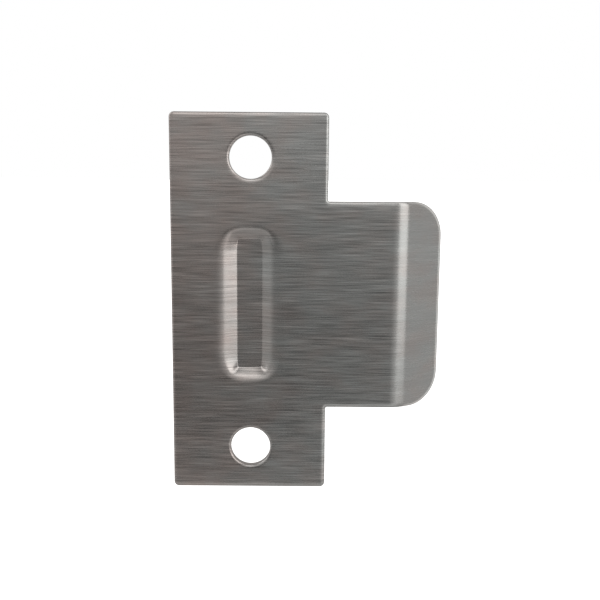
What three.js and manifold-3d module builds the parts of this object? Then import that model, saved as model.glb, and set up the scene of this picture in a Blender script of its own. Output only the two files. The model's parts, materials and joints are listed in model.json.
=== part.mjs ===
// T-strike for a roller latch, stamped from one piece of stainless sheet: a faceplate with two
// screw holes, a pocket pressed into it for the latch's roller, and a tab whose end is bent back
// into a lip that guides the roller in.
//
// Millimetres, +Z up. +X runs from the faceplate to the lip and +Y runs into the door frame. The
// origin is the middle of the faceplate, in the plane of its flat back, which beds on the frame.

import * as THREE from 'three';
import { mergeVertices } from 'three/addons/utils/BufferGeometryUtils.js';
import Module from 'manifold-3d';

// ---- Driving dimensions ----

const inch = 25.4;
const quarterTurn = Math.PI / 2;

// Sheet and faceplate
const thickness = 1.6;
const plateWidth = 1.125 * inch;
const plateHeight = 2.75 * inch;
const plateCornerRadius = 0.9;

// Screw holes, one above the other, a little nearer the tab than the plain edge
const screwHoleDiameter = 7.5;
const screwSpacing = 2.125 * inch;
const screwLineX = 0.25;

// Pocket: a flat floor with sloping sides, pressed in from the front, a little above the middle
const pocketCentreZ = 0.15;
const pocketFloorWidth = 4.3;
const pocketFloorLength = 24;
const pocketCornerRadius = 0.4;
const pocketDepth = 1.38;
const pocketWallRun = 3.1;

// Tab and lip
const tabHeight = 38.4;
const bendStartX = 26.1;
const bendInnerRadius = 4.8;
const bendAngle = THREE.MathUtils.degToRad(30);
const lipFlatLength = 7.5;
const lipCornerRadius = 0.25 * inch;

// Overlaps that let one solid run into or past another before they are joined or cut
const joinOverlap = 2;
const cutOverlap = 1;
const pressLand = 0.1;

// Facets round a screw hole, and half the facets along each other kind of arc
const holeFacets = 48;
const plateCornerHalfFacets = 4;
const pocketCornerHalfFacets = 4;
const bendHalfFacets = 6;
const lipCornerHalfFacets = 8;

// ---- Solids ----

const wasm = await Module();
wasm.setup();

// Closed geometry, placed by a matrix, as a solid that can be joined and cut.
function solid(geometry, placement) {
  geometry.applyMatrix4(placement);
  geometry.deleteAttribute('normal');
  geometry.deleteAttribute('uv');
  const welded = mergeVertices(geometry);
  return new wasm.Manifold(new wasm.Mesh({
    numProp: 3,
    vertProperties: new Float32Array(welded.attributes.position.array),
    triVerts: new Uint32Array(welded.index.array),
  }));
}

// A solid's surface as three.js geometry.
function surface(body) {
  const mesh = body.getMesh();
  const geometry = new THREE.BufferGeometry();
  geometry.setAttribute('position', new THREE.BufferAttribute(mesh.vertProperties, 3));
  geometry.setIndex(new THREE.BufferAttribute(mesh.triVerts, 1));
  geometry.computeVertexNormals();
  return geometry;
}

// Stands an extrusion upright: it is drawn in X and Z, about (0, z), and runs to -Y from y.
function upright(y, z) {
  const right = new THREE.Vector3(1, 0, 0);
  const up = new THREE.Vector3(0, 0, 1);
  const forwards = new THREE.Vector3(0, -1, 0);
  return new THREE.Matrix4().makeBasis(right, up, forwards).setPosition(0, y, z);
}

// Rectangle about the origin with rounded corners.
function roundedRectangle(width, height, radius) {
  const x = width / 2 - radius;
  const y = height / 2 - radius;
  const shape = new THREE.Shape();
  shape.absarc(x, y, radius, 0, quarterTurn);
  shape.absarc(-x, y, radius, quarterTurn, 2 * quarterTurn);
  shape.absarc(-x, -y, radius, 2 * quarterTurn, 3 * quarterTurn);
  shape.absarc(x, -y, radius, 3 * quarterTurn, 4 * quarterTurn);
  shape.closePath();
  return shape;
}

// ---- Faceplate ----

function faceplate() {
  const outline = roundedRectangle(plateWidth, plateHeight, plateCornerRadius);
  const geometry = new THREE.ExtrudeGeometry(outline, {
    depth: thickness,
    bevelEnabled: false,
    curveSegments: plateCornerHalfFacets,
  });
  return solid(geometry, upright(0, 0));
}

// What is punched out for a screw. side is 1 at the top and -1 below.
function screwSlug(side) {
  const radius = screwHoleDiameter / 2;
  const length = thickness + 2 * cutOverlap;
  const geometry = new THREE.CylinderGeometry(radius, radius, length, holeFacets);
  const placement = new THREE.Matrix4()
    .makeTranslation(screwLineX, -thickness / 2, side * screwSpacing / 2);
  return solid(geometry, placement);
}

// ---- Tab and lip ----

// Seen from above, the lip runs along alongLip and its front faces away from throughLip.
const alongLip = new THREE.Vector3(Math.cos(bendAngle), Math.sin(bendAngle), 0);
const throughLip = new THREE.Vector3(-Math.sin(bendAngle), Math.cos(bendAngle), 0);

// The end of the lip, on the sheet's front face.
const lipEnd = new THREE.Vector3(bendStartX, bendInnerRadius, 0)
  .addScaledVector(throughLip, -(bendInnerRadius + thickness))
  .addScaledVector(alongLip, lipFlatLength);

// A strip whose section runs straight out of the faceplate, round the bend and along the lip.
function tabAndLip() {
  const rootX = plateWidth / 2 - joinOverlap;
  const lipEndBack = lipEnd.clone().addScaledVector(throughLip, thickness);
  const outerRadius = bendInnerRadius + thickness;
  const flat = -quarterTurn;
  const bent = bendAngle - quarterTurn;
  const section = new THREE.Shape();
  section.moveTo(rootX, -thickness);
  section.lineTo(bendStartX, -thickness);
  section.absarc(bendStartX, bendInnerRadius, outerRadius, flat, bent);
  section.lineTo(lipEnd.x, lipEnd.y);
  section.lineTo(lipEndBack.x, lipEndBack.y);
  section.absarc(bendStartX, bendInnerRadius, bendInnerRadius, bent, flat, true);
  section.lineTo(rootX, 0);
  section.closePath();
  const geometry = new THREE.ExtrudeGeometry(section, {
    depth: tabHeight,
    bevelEnabled: false,
    curveSegments: bendHalfFacets,
  });
  return solid(geometry, new THREE.Matrix4().makeTranslation(0, 0, -tabHeight / 2));
}

// What is trimmed off a corner of the lip, square to the sheet. side is 1 at the top, -1 below.
function lipCornerWaste(side) {
  const radius = lipCornerRadius;
  const depth = thickness + 2 * cutOverlap;
  const waste = new THREE.Shape();
  waste.moveTo(-radius, cutOverlap);
  waste.lineTo(-radius, 0);
  waste.absarc(-radius, -radius, radius, quarterTurn, 0, true);
  waste.lineTo(cutOverlap, -radius);
  waste.lineTo(cutOverlap, cutOverlap);
  waste.closePath();
  const geometry = new THREE.ExtrudeGeometry(waste, {
    depth,
    bevelEnabled: false,
    curveSegments: lipCornerHalfFacets,
  });
  geometry.translate(0, 0, -depth / 2);
  const away = new THREE.Vector3(0, 0, side);
  const across = new THREE.Vector3().crossVectors(alongLip, away);
  const corner = lipEnd.clone()
    .addScaledVector(throughLip, thickness / 2)
    .addScaledVector(away, tabHeight / 2);
  const placement = new THREE.Matrix4().makeBasis(alongLip, away, across).setPosition(corner);
  return solid(geometry, placement);
}

// ---- Pocket ----

// The shape that the press pushes in from y: a flat nose, pocketDepth further back, with sloping
// sides. It makes both the bulge on the back and, a sheet's thickness forwards, the hollow.
function pocketForm(y) {
  const nose = roundedRectangle(pocketFloorWidth, pocketFloorLength, pocketCornerRadius);
  const geometry = new THREE.ExtrudeGeometry(nose, {
    depth: pressLand,
    bevelThickness: pocketDepth,
    bevelSize: pocketWallRun,
    bevelSegments: 1,
    curveSegments: pocketCornerHalfFacets,
  });
  return solid(geometry, upright(y, pocketCentreZ));
}

// ---- Strike plate ----

const strikePlate = new THREE.Mesh(
  surface(
    faceplate()
      .add(tabAndLip())
      .subtract(lipCornerWaste(1))
      .subtract(lipCornerWaste(-1))
      .add(pocketForm(0))
      .subtract(pocketForm(-thickness))
      .subtract(screwSlug(1))
      .subtract(screwSlug(-1)),
  ),
  new THREE.MeshStandardMaterial({ color: 0x8d8a86, roughness: 0.38, metalness: 1.0 }),
);
strikePlate.name = 'strike_plate';

const strike = new THREE.Group();
strike.add(strikePlate);

export default strike;
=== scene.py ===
"""T-strike for a roller latch: the fine surface of the stamped sheet, its brushed finish and a studio.

Lengths are in millimetres and MM turns them into Blender's metres. The sheet is drawn as the flat
blank it was stamped from: u runs across it, w up it, and depth goes in from its front face. Rings
of points run round its edges and its pocket, and formed() bends the blank into the finished strike.
"""
import json
import math

import bmesh
import bpy
from mathutils import Euler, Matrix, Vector
from mathutils.geometry import delaunay_2d_cdt


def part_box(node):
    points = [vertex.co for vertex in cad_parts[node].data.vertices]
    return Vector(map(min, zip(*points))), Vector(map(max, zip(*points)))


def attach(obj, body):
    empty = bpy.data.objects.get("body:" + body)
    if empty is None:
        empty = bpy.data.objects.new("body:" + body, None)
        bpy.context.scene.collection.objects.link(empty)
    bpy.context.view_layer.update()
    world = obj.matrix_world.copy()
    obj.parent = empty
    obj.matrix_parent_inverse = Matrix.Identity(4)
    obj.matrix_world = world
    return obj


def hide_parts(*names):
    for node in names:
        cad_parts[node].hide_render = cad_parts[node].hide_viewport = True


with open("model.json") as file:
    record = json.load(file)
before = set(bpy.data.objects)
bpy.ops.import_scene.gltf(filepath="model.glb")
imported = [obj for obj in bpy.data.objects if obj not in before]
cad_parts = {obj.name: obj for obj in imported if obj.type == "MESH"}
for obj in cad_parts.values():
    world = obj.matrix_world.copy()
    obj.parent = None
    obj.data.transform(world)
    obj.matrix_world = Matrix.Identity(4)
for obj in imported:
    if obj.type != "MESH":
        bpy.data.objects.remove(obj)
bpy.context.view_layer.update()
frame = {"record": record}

# ---- Sizes ----

MM = 0.001
NODE = "strike_plate"
low, high = (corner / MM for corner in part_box(NODE))

# The sheet and the faceplate. The origin is the middle of the faceplate's back.
SHEET = -low.y
HALF_WIDTH = -low.x
HALF_HEIGHT = high.z
PLATE_CORNER = 0.9

# The tab and the lip at its end
TAB_HALF_HEIGHT = 19.2
NOTCH_CORNER = 0.3
LIP_CORNER = 6.35
BEND_START = 26.1
BEND_INSIDE = 4.8
BEND_ANGLE = math.radians(30)
BEND_MIDLINE = BEND_INSIDE + SHEET / 2
BEND_END = BEND_START + BEND_MIDLINE * BEND_ANGLE
LIP_FLAT = 7.5
LIP_END = BEND_END + LIP_FLAT

# The screw holes and the width of their rolled edges: the upper one, then the lower one
HOLE_RADII = (3.84, 3.69)
HOLE_ROLL_WIDTHS = (0.75, 0.5)

# The pocket: a flat floor with nearly square corners, a sloping wall and a rim with round corners.
# The walls at its ends are shorter, and so steeper, than the walls at its sides.
POCKET_Z = 0.15
FLOOR_HALF_WIDTH = 2.15
FLOOR_HALF_LENGTH = 12.0
FLOOR_CORNER = 0.35
POCKET_DEPTH = 1.38
FLOOR_FILLET = 0.6
WALL_SLOPE = math.radians(26)
RIM_RADIUS = 6
RIM_END_SLOPE = math.radians(3)
TAIL_RADIUS = 12
RIM_OVERRUN = 2.9
RIM_CORNER = 6

# A punched edge: the rolled front, the burnished wall, the rougher break and the soft back edge
ROLL_WIDTH = 0.8
ROLL_DEPTH = 0.35
BURNISH_END = 0.9
BREAK_INSET = 0.07
BACK_ROUND = 0.1
BACK_BEVEL = BACK_ROUND / 3

# Mesh density
GRID = 1.2
FILL_MARGIN = 0.45
RING_MARGIN = 0.5
SUPPORT = 0.25
SMALLEST_ARC = 0.02
BEND_STEPS = 16
PLATE_STEPS = 8
NOTCH_STEPS = 5
LIP_STEPS = 20
HOLE_STEPS = 64
ROLL_STEPS = 8
FILLET_STEPS = 5
WALL_STEPS = 5
RIM_STEPS = 6
TAIL_STEPS = 4
END_STEPS = 60
HALVINGS = 40
MERGE_DISTANCE = 1e-7
# The triangulation's mode that keeps only triangles inside the outline
INSIDE_ONLY = 1
SHARP = math.radians(40)

FACE, BACK, EDGE = range(3)


# ---- The blank's outlines ----

def spread(start, end, pitch):
    """Evenly spaced values from start to end, about pitch apart."""
    count = max(1, round((end - start) / pitch))
    return [start + (end - start) * i / count for i in range(count + 1)]


U_LINES = (
    spread(-HALF_WIDTH, BEND_START, GRID)[:-1]
    + [BEND_START + (BEND_END - BEND_START) * i / BEND_STEPS for i in range(BEND_STEPS)]
    + spread(BEND_END, LIP_END, GRID)
)
W_LINES = spread(-HALF_HEIGHT, HALF_HEIGHT, GRID)


def stations(start, end, along):
    """Points between start and end, a straight edge, where the grid's lines cross it."""
    a, b = start[along], end[along]
    lines = U_LINES if along == 0 else W_LINES
    inside = [v for v in lines if min(a, b) + RING_MARGIN < v < max(a, b) - RING_MARGIN]
    other = start[1 - along]
    points = [(v, other) if along == 0 else (other, v) for v in inside]
    return points if a < b else points[::-1]


def rounded_loop(corners, inset):
    """A loop of straight edges and corner arcs, moved inwards by inset.

    Each corner is (u, w, radius, turn, steps), anticlockwise, with turn 1 where the loop bulges out
    and -1 in a notch. Every inset gives the same number of points.
    """
    arcs = []
    for i, (u, w, radius, turn, steps) in enumerate(corners):
        before = Vector(corners[i - 1][:2])
        after = Vector(corners[(i + 1) % len(corners)][:2])
        here = Vector((u, w))
        arriving = (here - before).normalized()
        leaving = (after - here).normalized()
        inward_in = Vector((-arriving.y, arriving.x))
        inward_out = Vector((-leaving.y, leaving.x))
        arc_radius = max(radius - turn * inset, SMALLEST_ARC)
        centre = here + (inset + turn * arc_radius) * (inward_in + inward_out)
        arc = []
        for step in range(steps + 1):
            angle = math.pi / 2 * step / steps
            away = math.cos(angle) * inward_in + math.sin(angle) * inward_out
            arc.append(tuple(centre - turn * arc_radius * away))
        arcs.append((arc, 0 if abs(leaving.x) > abs(leaving.y) else 1))
    loop = []
    for i, (arc, along) in enumerate(arcs):
        following = arcs[(i + 1) % len(arcs)][0]
        loop += arc + stations(arc[-1], following[0], along)
    return loop


STRIKE_CORNERS = [
    (LIP_END, -TAB_HALF_HEIGHT, LIP_CORNER, 1, LIP_STEPS),
    (LIP_END, TAB_HALF_HEIGHT, LIP_CORNER, 1, LIP_STEPS),
    (HALF_WIDTH, TAB_HALF_HEIGHT, NOTCH_CORNER, -1, NOTCH_STEPS),
    (HALF_WIDTH, HALF_HEIGHT, PLATE_CORNER, 1, PLATE_STEPS),
    (-HALF_WIDTH, HALF_HEIGHT, PLATE_CORNER, 1, PLATE_STEPS),
    (-HALF_WIDTH, -HALF_HEIGHT, PLATE_CORNER, 1, PLATE_STEPS),
    (HALF_WIDTH, -HALF_HEIGHT, PLATE_CORNER, 1, PLATE_STEPS),
    (HALF_WIDTH, -TAB_HALF_HEIGHT, NOTCH_CORNER, -1, NOTCH_STEPS),
]


def strike_loop(inset):
    """The T's outline, moved inwards by inset."""
    return rounded_loop(STRIKE_CORNERS, inset)


def corner_gap(u, w, half_u, half_w, radius):
    """How far a point is outside a rounded rectangle about the origin, negative inside it."""
    du = abs(u) - half_u + radius
    dw = abs(w) - half_w + radius
    return math.hypot(max(du, 0), max(dw, 0)) + min(max(du, dw), 0) - radius


def strike_gap(u, w):
    """How far a point is outside the T, negative inside it."""
    plate = corner_gap(u, w, HALF_WIDTH, HALF_HEIGHT, PLATE_CORNER)
    tab = max(corner_gap(u, w, LIP_END, TAB_HALF_HEIGHT, LIP_CORNER), -u)
    return min(plate, tab)


def floor_gap(u, w):
    """How far a point is outside the pocket's floor, negative inside it."""
    return corner_gap(u, w - POCKET_Z, FLOOR_HALF_WIDTH, FLOOR_HALF_LENGTH, FLOOR_CORNER)


def hole_centre(opening):
    """The middle of a screw hole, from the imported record's box inside it."""
    lowest, highest = opening["box_m"]
    return (lowest[0] + highest[0]) / 2 / MM, (lowest[2] + highest[2]) / 2 / MM


HOLES = [hole_centre(opening) for opening in frame["record"]["physics"]["openings"]]


def hole_loop(centre, radius):
    """A circle about a hole's centre."""
    turns = [math.tau * i / HOLE_STEPS for i in range(HOLE_STEPS)]
    return [(centre[0] + radius * math.cos(a), centre[1] + radius * math.sin(a)) for a in turns]


# ---- Sections through the sheet ----

def edge_profile(roll_width):
    """(inset, depth) down a punched edge, from the flat front to the flat back."""
    profile = [(roll_width + SUPPORT, 0)]
    for step in range(ROLL_STEPS + 1):
        angle = math.pi / 2 * step / ROLL_STEPS
        profile.append((roll_width * (1 - math.sin(angle)), ROLL_DEPTH * (1 - math.cos(angle))))
    profile.append((0, BURNISH_END))
    profile.append((BREAK_INSET, SHEET - BACK_ROUND))
    profile.append((BREAK_INSET + BACK_BEVEL, SHEET - BACK_BEVEL))
    profile.append((BREAK_INSET + BACK_ROUND, SHEET))
    profile.append((BREAK_INSET + BACK_ROUND + SUPPORT, SHEET))
    return profile


def pocket_profile():
    """(share, depth, slope) up the middle of the pocket's side. Share is 0 at the floor, 1 at the rim."""
    def arc(radius, start, end, steps, offset, depth):
        """Points along an arc, after its first, as the slope goes from start to end."""
        for step in range(1, steps + 1):
            slope = start + (end - start) * step / steps
            yield (
                offset + radius * abs(math.sin(slope) - math.sin(start)),
                depth - radius * abs(math.cos(slope) - math.cos(start)),
                slope,
            )

    curved_depth = (
        FLOOR_FILLET * (1 - math.cos(WALL_SLOPE))
        + RIM_RADIUS * (math.cos(RIM_END_SLOPE) - math.cos(WALL_SLOPE))
        + TAIL_RADIUS * (1 - math.cos(RIM_END_SLOPE))
    )
    wall_depth = POCKET_DEPTH - curved_depth
    wall_run = wall_depth / math.tan(WALL_SLOPE)
    profile = [(0, POCKET_DEPTH, 0)]
    profile += arc(FLOOR_FILLET, 0, WALL_SLOPE, FILLET_STEPS, *profile[-1][:2])
    offset, depth, slope = profile[-1]
    for step in range(1, WALL_STEPS + 1):
        share = step / WALL_STEPS
        profile.append((offset + wall_run * share, depth - wall_depth * share, slope))
    profile += arc(RIM_RADIUS, WALL_SLOPE, RIM_END_SLOPE, RIM_STEPS, *profile[-1][:2])
    profile += arc(TAIL_RADIUS, RIM_END_SLOPE, 0, TAIL_STEPS, *profile[-1][:2])
    return profile


SIDE_PROFILE = pocket_profile()
SIDE_RUN = SIDE_PROFILE[-1][0]
RIM_HALF_WIDTH = FLOOR_HALF_WIDTH + SIDE_RUN
RIM_HALF_LENGTH = FLOOR_HALF_LENGTH + RIM_OVERRUN


def rim_gap(u, w):
    """How far a point is outside the pocket's rim, negative inside it."""
    return corner_gap(u, w - POCKET_Z, RIM_HALF_WIDTH, RIM_HALF_LENGTH, RIM_CORNER)


def crossing(gap, root, direction):
    """Where a line that starts inside an outline leaves it. gap is negative inside."""
    inner, outer = 0.0, 2 * RIM_HALF_LENGTH
    for _ in range(HALVINGS):
        middle = (inner + outer) / 2
        if gap(*(root + middle * direction)) < 0:
            inner = middle
        else:
            outer = middle
    return root + inner * direction


def pocket_rays():
    """Lines up the pocket's side, anticlockwise, as (point on the floor's edge, point on the rim)."""
    spine = FLOOR_HALF_LENGTH - FLOOR_HALF_WIDTH
    straight = [w for w in W_LINES if abs(w - POCKET_Z) < spine - RING_MARGIN]
    starts = []
    for side in (1, -1):
        starts += [(Vector((0, w)), Vector((side, 0))) for w in straight[::side]]
        root = Vector((0, POCKET_Z + side * spine))
        for step in range(END_STEPS + 1):
            angle = math.pi * step / END_STEPS
            starts.append((root, side * Vector((math.cos(angle), math.sin(angle)))))
    return [(crossing(floor_gap, *ray), crossing(rim_gap, *ray)) for ray in starts]


def pocket_rings():
    """Rings of (u, w, depth) up the pocket, on the sheet's front and, a thickness further in, its back."""
    rays = pocket_rays()
    fronts, backs = [], []
    for offset, depth, slope in SIDE_PROFILE:
        share = offset / SIDE_RUN
        ring = [floor.lerp(rim, share) for floor, rim in rays]
        fronts.append([(point.x, point.y, depth) for point in ring])
        back = []
        for i, (floor, rim) in enumerate(rays):
            along = ring[(i + 1) % len(ring)] - ring[i - 1]
            outward = Vector((along.y, -along.x)).normalized()
            reach = (rim - floor).dot(outward)
            local_slope = math.atan2(math.tan(slope) * SIDE_RUN, reach)
            point = ring[i] + SHEET * math.sin(local_slope) * outward
            back.append((point.x, point.y, depth + SHEET * math.cos(local_slope)))
        backs.append(back)
    return fronts, backs


# ---- The mesh ----

class Blank:
    """The sheet's points and faces, in the flat blank's u, w and depth."""

    def __init__(self):
        self.points = []
        self.faces = []
        self.grain = []
        self.zones = []

    def add(self, points):
        """Adds points and gives their numbers."""
        first = len(self.points)
        self.points += points
        return list(range(first, len(self.points)))

    def ring(self, loop, depth):
        """Adds a loop of points, all at one depth."""
        return self.add([(u, w, depth) for u, w in loop])

    def face(self, corners, zone, grain=None):
        """Adds a face, with where the grain's pattern lies on it."""
        self.faces.append(corners)
        self.grain.append(grain or [self.points[i][:2] for i in corners])
        self.zones.append(zone)

    def strip(self, one, two, zone):
        """Joins two rings by a band of quads. On an edge the grain runs through the sheet."""
        travelled = [0]
        for i, j in zip(one, one[1:] + one[:1]):
            travelled.append(travelled[-1] + math.dist(self.points[i], self.points[j]))
        for k in range(len(one)):
            after = (k + 1) % len(one)
            corners = [one[k], one[after], two[after], two[k]]
            grain = None
            if zone == EDGE:
                along = (travelled[k], travelled[k + 1], travelled[k + 1], travelled[k])
                grain = [(self.points[i][2], s) for i, s in zip(corners, along)]
            self.face(corners, zone, grain)

    def band(self, rings, zone):
        """Joins a row of rings."""
        for one, two in zip(rings, rings[1:]):
            self.strip(one, two, zone)

    def fill(self, outer, holes, depth, zone, keep):
        """Fills flat sheet between an outer ring and rings inside it, over the grid's points."""
        numbers = outer + [i for hole in holes for i in hole]
        loops = []
        for ring in [outer] + holes:
            first = sum(len(loop) for loop in loops)
            loops.append(list(range(first, first + len(ring))))
        edges = [pair for loop in loops for pair in zip(loop, loop[1:] + loop[:1])]
        numbers += self.ring([(u, w) for u in U_LINES for w in W_LINES if keep(u, w)], depth)
        flat = [Vector(self.points[i][:2]) for i in numbers]
        found = delaunay_2d_cdt(flat, edges, [], INSIDE_ONLY, MERGE_DISTANCE)
        triangles, origins = found[2], found[3]
        for triangle in triangles:
            middle = sum((found[0][i] for i in triangle), Vector((0, 0))) / 3
            if all(not inside(middle, [flat[i] for i in loop]) for loop in loops[1:]):
                self.face([numbers[origins[i][0]] for i in triangle], zone)


def inside(point, loop):
    """Whether a point is inside a closed loop."""
    crossings = 0
    for a, b in zip(loop, loop[1:] + loop[:1]):
        if (a.y > point.y) != (b.y > point.y):
            if point.x < a.x + (point.y - a.y) / (b.y - a.y) * (b.x - a.x):
                crossings += 1
    return crossings % 2 == 1


def formed(u, w, depth):
    """Where a point of the blank is once the lip is bent back."""
    turn = min(max((u - BEND_START) / BEND_MIDLINE, 0), BEND_ANGLE)
    straight = u - BEND_START - turn * BEND_MIDLINE
    radius = BEND_INSIDE + SHEET - depth
    x = BEND_START + radius * math.sin(turn) + straight * math.cos(turn)
    y = BEND_INSIDE - radius * math.cos(turn) + straight * math.sin(turn)
    return Vector((x, y, w)) * MM


def hole_gap(u, w):
    """How far a point is outside the nearer screw hole's wall."""
    return min(math.dist((u, w), centre) - radius for centre, radius in zip(HOLES, HOLE_RADII))


def build_sheet():
    """The whole strike as one closed sheet."""
    blank = Blank()
    profile = edge_profile(ROLL_WIDTH)
    outer = [blank.ring(strike_loop(inset), depth) for inset, depth in profile]
    holes = []
    for centre, radius, roll_width in zip(HOLES, HOLE_RADII, HOLE_ROLL_WIDTHS):
        sides = edge_profile(roll_width)
        holes.append([blank.ring(hole_loop(centre, radius + inset), depth) for inset, depth in sides])
    wall = ROLL_STEPS + 1
    back_edge = wall + 2
    for rings in [outer] + holes:
        blank.band(rings[:wall + 1], FACE)
        blank.band(rings[wall:back_edge + 1], EDGE)
        blank.band(rings[back_edge:], BACK)

    fronts, backs = ([blank.add(ring) for ring in rings] for rings in pocket_rings())
    blank.band(fronts, FACE)
    blank.band(backs, BACK)

    for end, pocket, depth, zone in ((0, fronts, 0, FACE), (-1, backs, SHEET, BACK)):
        edge_inset = profile[end][0] + FILL_MARGIN
        hole_inset = max(HOLE_ROLL_WIDTHS) + SUPPORT + FILL_MARGIN
        blank.fill(
            outer[end], [hole[end] for hole in holes] + [pocket[-1]], depth, zone,
            lambda u, w: strike_gap(u, w) < -edge_inset and hole_gap(u, w) > hole_inset
            and rim_gap(u, w) > FILL_MARGIN,
        )
        blank.fill(
            pocket[0], [], depth + POCKET_DEPTH, zone,
            lambda u, w: floor_gap(u, w) < -FILL_MARGIN,
        )
    return blank


def sheet_object(blank):
    """The blank, bent to shape, as a Blender object."""
    mesh = bpy.data.meshes.new("strike")
    mesh.from_pydata([formed(*point) for point in blank.points], [], blank.faces)
    mesh.polygons.foreach_set("material_index", blank.zones)
    layer = mesh.uv_layers.new(name="grain")
    for polygon, grain in zip(mesh.polygons, blank.grain):
        for loop, place in zip(polygon.loop_indices, grain):
            layer.data[loop].uv = place
    work = bmesh.new()
    work.from_mesh(mesh)
    bmesh.ops.recalc_face_normals(work, faces=work.faces)
    work.to_mesh(mesh)
    work.free()
    mesh.shade_smooth()
    mesh.set_sharp_from_angle(angle=SHARP)
    piece = bpy.data.objects.new("strike", mesh)
    bpy.context.scene.collection.objects.link(piece)
    return piece


# ---- Materials ----

# The tints the metal is blended between, by random clouds and by the painted reflection tint across the
# faceplate
WARM_STEEL = (0.60, 0.54, 0.52, 1)
COOL_STEEL = (0.57, 0.59, 0.59, 1)
# Layers of brushed lines: weight, length, pitch, seed and detail
LINE_LAYERS = [
    (1.6, 5.5, 0.12, 3.1, 0.0),
    (0.7, 9.0, 0.26, 23.4, 0.0),
    (0.2, 14.0, 0.9, 17.7, 1.0),
]
LINE_ROUGHNESS = 0.6
# How strong the lines are on the lip, where the rest of the strike has 1. The fading there is painted
# light: the even light the lip mirrors hides its lines.
LIP_LINES_IN_EVEN_LIGHT = 0.2
# Slow changes across the metal: length, pitch, seed and detail of the tone's and of the tint's
SWELL = (26.0, 4.0, 41.3, 3.0)
SWELL_TONE = 0.25
CLOUD = (7.0, 5.0, 88.9, 3.0)
# A painted reflection tint: how much further from warm to cool the metal is painted at each side of the
# faceplate, as its two sides mirror differently tinted light, and how far the clouds move it
REFLECTION_TINT_SHIFT = 0.35
TINT_SPREAD = 2.0
# The anisotropy's turn from the lines' direction, as a share of a full turn
LINES_TURN = 0.25
# How gradually an edge changes from burnished to torn
TEAR_BLEND = 0.1


class Shader:
    """A node tree that is built from its output backwards."""

    def __init__(self, tree):
        self.tree = tree
        tree.nodes.clear()

    def add(self, kind, inputs=None, **settings):
        """Adds a node, sets it up and joins its inputs to numbers or to other nodes' outputs."""
        node = self.tree.nodes.new(kind)
        for name, value in settings.items():
            setattr(node, name, value)
        for name, value in (inputs or {}).items():
            if isinstance(value, bpy.types.NodeSocket):
                self.tree.links.new(value, node.inputs[name])
            else:
                node.inputs[name].default_value = value
        return node

    def math(self, operation, a, b=0.0, c=0.0):
        """The output of one arithmetic node."""
        return self.add("ShaderNodeMath", {0: a, 1: b, 2: c}, operation=operation).outputs[0]

    def mix(self, share, one, two):
        """A blend of two colours."""
        node = self.add("ShaderNodeMix", {"Factor": share}, data_type="RGBA")
        for name, value in (("A_Color", one), ("B_Color", two)):
            socket = next(s for s in node.inputs if s.identifier == name)
            if isinstance(value, bpy.types.NodeSocket):
                self.tree.links.new(value, socket)
            else:
                socket.default_value = value
        return next(s for s in node.outputs if s.identifier == "Result_Color")

    def ramp(self, value, low_in, high_in, low_out=0.0, high_out=1.0):
        """Maps a range of values to another, smoothly, and holds its ends."""
        inputs = {
            "Value": value, "From Min": low_in, "From Max": high_in,
            "To Min": low_out, "To Max": high_out,
        }
        node = self.add("ShaderNodeMapRange", inputs, interpolation_type="SMOOTHSTEP")
        return node.outputs["Result"]

    def grain(self, place, length, pitch, seed, detail):
        """Noise about 0.5, drawn out along u: lines about length long and pitch apart."""
        stretched = self.add(
            "ShaderNodeMapping",
            {"Vector": place, "Location": (seed, seed, seed), "Scale": (1 / length, 1 / pitch, 1)},
        )
        noise = self.add(
            "ShaderNodeTexNoise",
            {
                "Vector": stretched.outputs[0],
                "Scale": 1.0,
                "Detail": detail,
                "Roughness": LINE_ROUGHNESS,
            },
        )
        return noise.outputs["Fac"]


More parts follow.
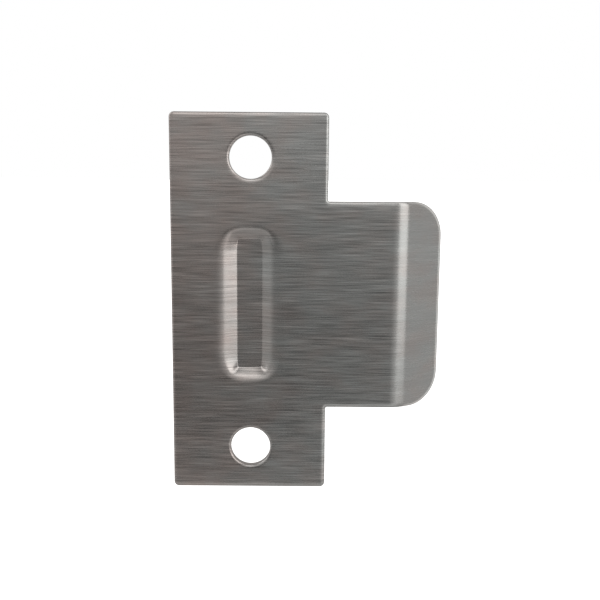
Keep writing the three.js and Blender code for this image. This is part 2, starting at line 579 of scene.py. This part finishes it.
def stainless(name, tone_lines, rough_lines, relief, roughness, anisotropy, torn=0.0):
    """Stainless steel with fine lines along u over slow changes of tone.

    The lines vary the tone by tone_lines and the roughness by rough_lines, and stand relief
    millimetres high. torn is how much rougher the metal gets past the burnished part of an edge,
    where u is the depth into the sheet.
    """
    material = bpy.data.materials.new(name)
    material.use_nodes = True
    shader = Shader(material.node_tree)
    place = shader.add("ShaderNodeUVMap", uv_map="grain").outputs[0]

    layers = [shader.grain(place, *layer[1:]) for layer in LINE_LAYERS]
    slow = shader.grain(place, *SWELL)
    cloud = shader.grain(place, *CLOUD)

    across = shader.add("ShaderNodeSeparateXYZ", {0: place}).outputs["X"]
    # Painted light: the lines fade on the lip, where the even light it mirrors hides them.
    lip_even_light_fade = shader.ramp(across, BEND_START, BEND_END, 1.0, LIP_LINES_IN_EVEN_LIGHT)
    lines = -sum(layer[0] for layer in LINE_LAYERS) / 2
    for (weight, *_), layer in zip(LINE_LAYERS, layers):
        lines = shader.math("MULTIPLY_ADD", layer, weight, lines)
    lines = shader.math("MULTIPLY", lines, lip_even_light_fade)
    swell = shader.math("SUBTRACT", slow, 0.5)

    tone = shader.math("MULTIPLY_ADD", lines, tone_lines, 1.0)
    tone = shader.math("MULTIPLY_ADD", swell, SWELL_TONE, tone)
    # Painted reflection: the tint runs from warm at the faceplate's left to cool at its right, for the
    # light each side mirrors.
    painted_reflection_tint = shader.ramp(across, -HALF_WIDTH, HALF_WIDTH, -REFLECTION_TINT_SHIFT, REFLECTION_TINT_SHIFT)
    drift = shader.math("MULTIPLY", shader.math("SUBTRACT", cloud, 0.5), TINT_SPREAD)
    share = shader.math("ADD", shader.math("ADD", drift, painted_reflection_tint), 0.5)
    tint = shader.mix(share, WARM_STEEL, COOL_STEEL)
    colour = shader.add("ShaderNodeVectorMath", {0: tint, "Scale": tone}, operation="SCALE")

    rough = shader.math("MULTIPLY_ADD", lines, rough_lines, roughness)
    if torn:
        past = shader.ramp(across, BURNISH_END - TEAR_BLEND, BURNISH_END + TEAR_BLEND, 0.0, torn)
        rough = shader.math("ADD", rough, past)
    bump = shader.add("ShaderNodeBump", {"Strength": 1.0, "Distance": relief * MM, "Height": lines})
    tangent = shader.add("ShaderNodeTangent", direction_type="UV_MAP", uv_map="grain")
    principled = shader.add("ShaderNodeBsdfPrincipled", {
        "Base Color": colour.outputs[0],
        "Metallic": 1.0,
        "Roughness": rough,
        "Anisotropic": anisotropy,
        "Anisotropic Rotation": LINES_TURN,
        "Tangent": tangent.outputs[0],
        "Normal": bump.outputs[0],
    })
    shader.add("ShaderNodeOutputMaterial", {"Surface": principled.outputs[0]})
    return material


def brushed_face():
    """The front, brushed across the plate's width."""
    return stainless(
        "brushed_face", tone_lines=0.54, rough_lines=0.05, relief=0.003, roughness=0.27, anisotropy=0.6,
    )


def brushed_back():
    """The back, brushed the same way but left a little duller."""
    return stainless(
        "brushed_back", tone_lines=0.35, rough_lines=0.05, relief=0.003, roughness=0.31, anisotropy=0.5,
    )


def sheared_edge():
    """The punched edge: smooth where the punch burnished it, rougher where the metal tore."""
    return stainless(
        "sheared_edge", tone_lines=0.2, rough_lines=0.1, relief=0.01, roughness=0.27,
        anisotropy=0.3, torn=0.2,
    )


# ---- Studio ----

# The tint of all the light, and how bright the room and what is in front of the strike look, where
# 1 is white paper
LIGHT_TINT = (1.0, 0.97, 0.94)
ROOM = 0.35
FRONT_LOW = 0.01
FRONT_HIGH = 0.7
# The front's tone rises between these heights, as sines of the elevation
FRONT_RISE = (-0.3, 0.4)
# The middle of the front, and the cosines of the angles from it where it begins and is complete
FRONT_HEADING = (-15, -5)
FRONT_FADE = (0.75, 0.95)

# In metres: how far away the panels are, and half the floor's width
PANEL_DISTANCE = 2.0
FLOOR_HALF = 3.0

# The camera, from the strike's origin, and its turns about X, Y and Z in degrees
CAMERA_PLACE = (8.83, -152.81, 25.87)
CAMERA_TURN = (80.731, -0.49, -0.12)


def heading(azimuth, elevation):
    """A direction away from the strike. Azimuth is from the front, towards the lip, in degrees."""
    a, e = math.radians(azimuth), math.radians(elevation)
    return Vector((math.sin(a) * math.cos(e), -math.cos(a) * math.cos(e), math.sin(e)))


def room_light():
    """An even room that the camera sees as white.

    The strike's flat front mirrors what stands before it. That is dark low down and gets lighter
    upwards, as it does behind a camera in a bright room.
    """
    world = bpy.data.worlds.new("studio")
    bpy.context.scene.world = world
    world.use_nodes = True
    shader = Shader(world.node_tree)
    direction = shader.add("ShaderNodeTexCoord").outputs["Generated"]
    height = shader.add("ShaderNodeSeparateXYZ", {0: direction}).outputs["Z"]
    front = shader.ramp(height, *FRONT_RISE, FRONT_LOW, FRONT_HIGH)
    ahead = heading(*FRONT_HEADING)
    facing = shader.add("ShaderNodeVectorMath", {0: direction, 1: ahead}, operation="DOT_PRODUCT")
    share = shader.ramp(facing.outputs["Value"], *FRONT_FADE)
    change = shader.math("MULTIPLY", share, shader.math("SUBTRACT", front, ROOM))
    tone = shader.math("ADD", change, ROOM)
    sky = shader.add("ShaderNodeBackground", {"Color": (*LIGHT_TINT, 1), "Strength": tone})
    paper = shader.add("ShaderNodeBackground", {"Color": (1, 1, 1, 1), "Strength": 1.0})
    seen = shader.add("ShaderNodeLightPath").outputs["Is Camera Ray"]
    both = shader.add("ShaderNodeMixShader", {0: seen, 1: sky.outputs[0], 2: paper.outputs[0]})
    shader.add("ShaderNodeOutputWorld", {"Surface": both.outputs[0]})


def softbox(name, azimuths, elevations, strength):
    """An upright panel of light that fills a range of azimuths and elevations, in degrees.

    strength is how bright the panel looks, on the room's scale.
    """
    middle = heading(sum(azimuths) / 2, 0)
    lowest, highest = (PANEL_DISTANCE * math.tan(math.radians(e)) for e in elevations)
    lamp = bpy.data.lights.new(name, "AREA")
    lamp.shape = "RECTANGLE"
    lamp.size = 2 * PANEL_DISTANCE * math.tan(math.radians(azimuths[1] - azimuths[0]) / 2)
    lamp.size_y = highest - lowest
    lamp.energy = strength * math.pi * lamp.size * lamp.size_y
    lamp.color = LIGHT_TINT
    panel = bpy.data.objects.new(name, lamp)
    panel.location = middle * PANEL_DISTANCE + Vector((0, 0, (lowest + highest) / 2))
    panel.rotation_euler = middle.to_track_quat("Z", "Y").to_euler()
    panel.visible_camera = False
    bpy.context.scene.collection.objects.link(panel)


def floor():
    """A pale floor under the strike, lit evenly from within so that it stays white."""
    corners = [(-1, -1), (1, -1), (1, 1), (-1, 1)]
    places = [(x * FLOOR_HALF, y * FLOOR_HALF, low.z * MM) for x, y in corners]
    mesh = bpy.data.meshes.new("floor")
    mesh.from_pydata(places, [], [(0, 1, 2, 3)])
    piece = bpy.data.objects.new("floor", mesh)
    bpy.context.scene.collection.objects.link(piece)
    material = bpy.data.materials.new("paper")
    material.use_nodes = True
    shader = Shader(material.node_tree)
    paper = shader.add("ShaderNodeBsdfPrincipled", {
        "Base Color": (0.9, 0.9, 0.9, 1),
        "Roughness": 0.9,
        "Emission Color": (1, 1, 1, 1),
        "Emission Strength": 1.0,
    })
    shader.add("ShaderNodeOutputMaterial", {"Surface": paper.outputs[0]})
    mesh.materials.append(material)
    piece.visible_glossy = False
    piece.visible_shadow = False


def camera():
    """The camera: a 50 mm lens on full frame, a little above the strike and to its right."""
    lens = bpy.data.cameras.new("camera")
    lens.lens = 50
    lens.sensor_width = 36
    lens.clip_start = 0.01
    eye = bpy.data.objects.new("camera", lens)
    eye.location = Vector(CAMERA_PLACE) * MM
    eye.rotation_euler = Euler([math.radians(turn) for turn in CAMERA_TURN])
    bpy.context.scene.collection.objects.link(eye)
    bpy.context.scene.camera = eye


camera()
floor()
room_light()
softbox("right", (30, 60), (-10, 60), 1.0)
softbox("right_side", (80, 110), (-50, 50), 0.6)
softbox("left", (-90, -55), (10, 60), 0.8)
softbox("top", (-20, 20), (30, 60), 0.8)
softbox("floor_card", (-40, 40), (-42, -24), 0.35)

strike = sheet_object(build_sheet())
strike.data.materials.append(brushed_face())
strike.data.materials.append(brushed_back())
strike.data.materials.append(sheared_edge())
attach(strike, "root")
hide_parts(NODE)

bpy.context.scene.view_settings.view_transform = "Standard"
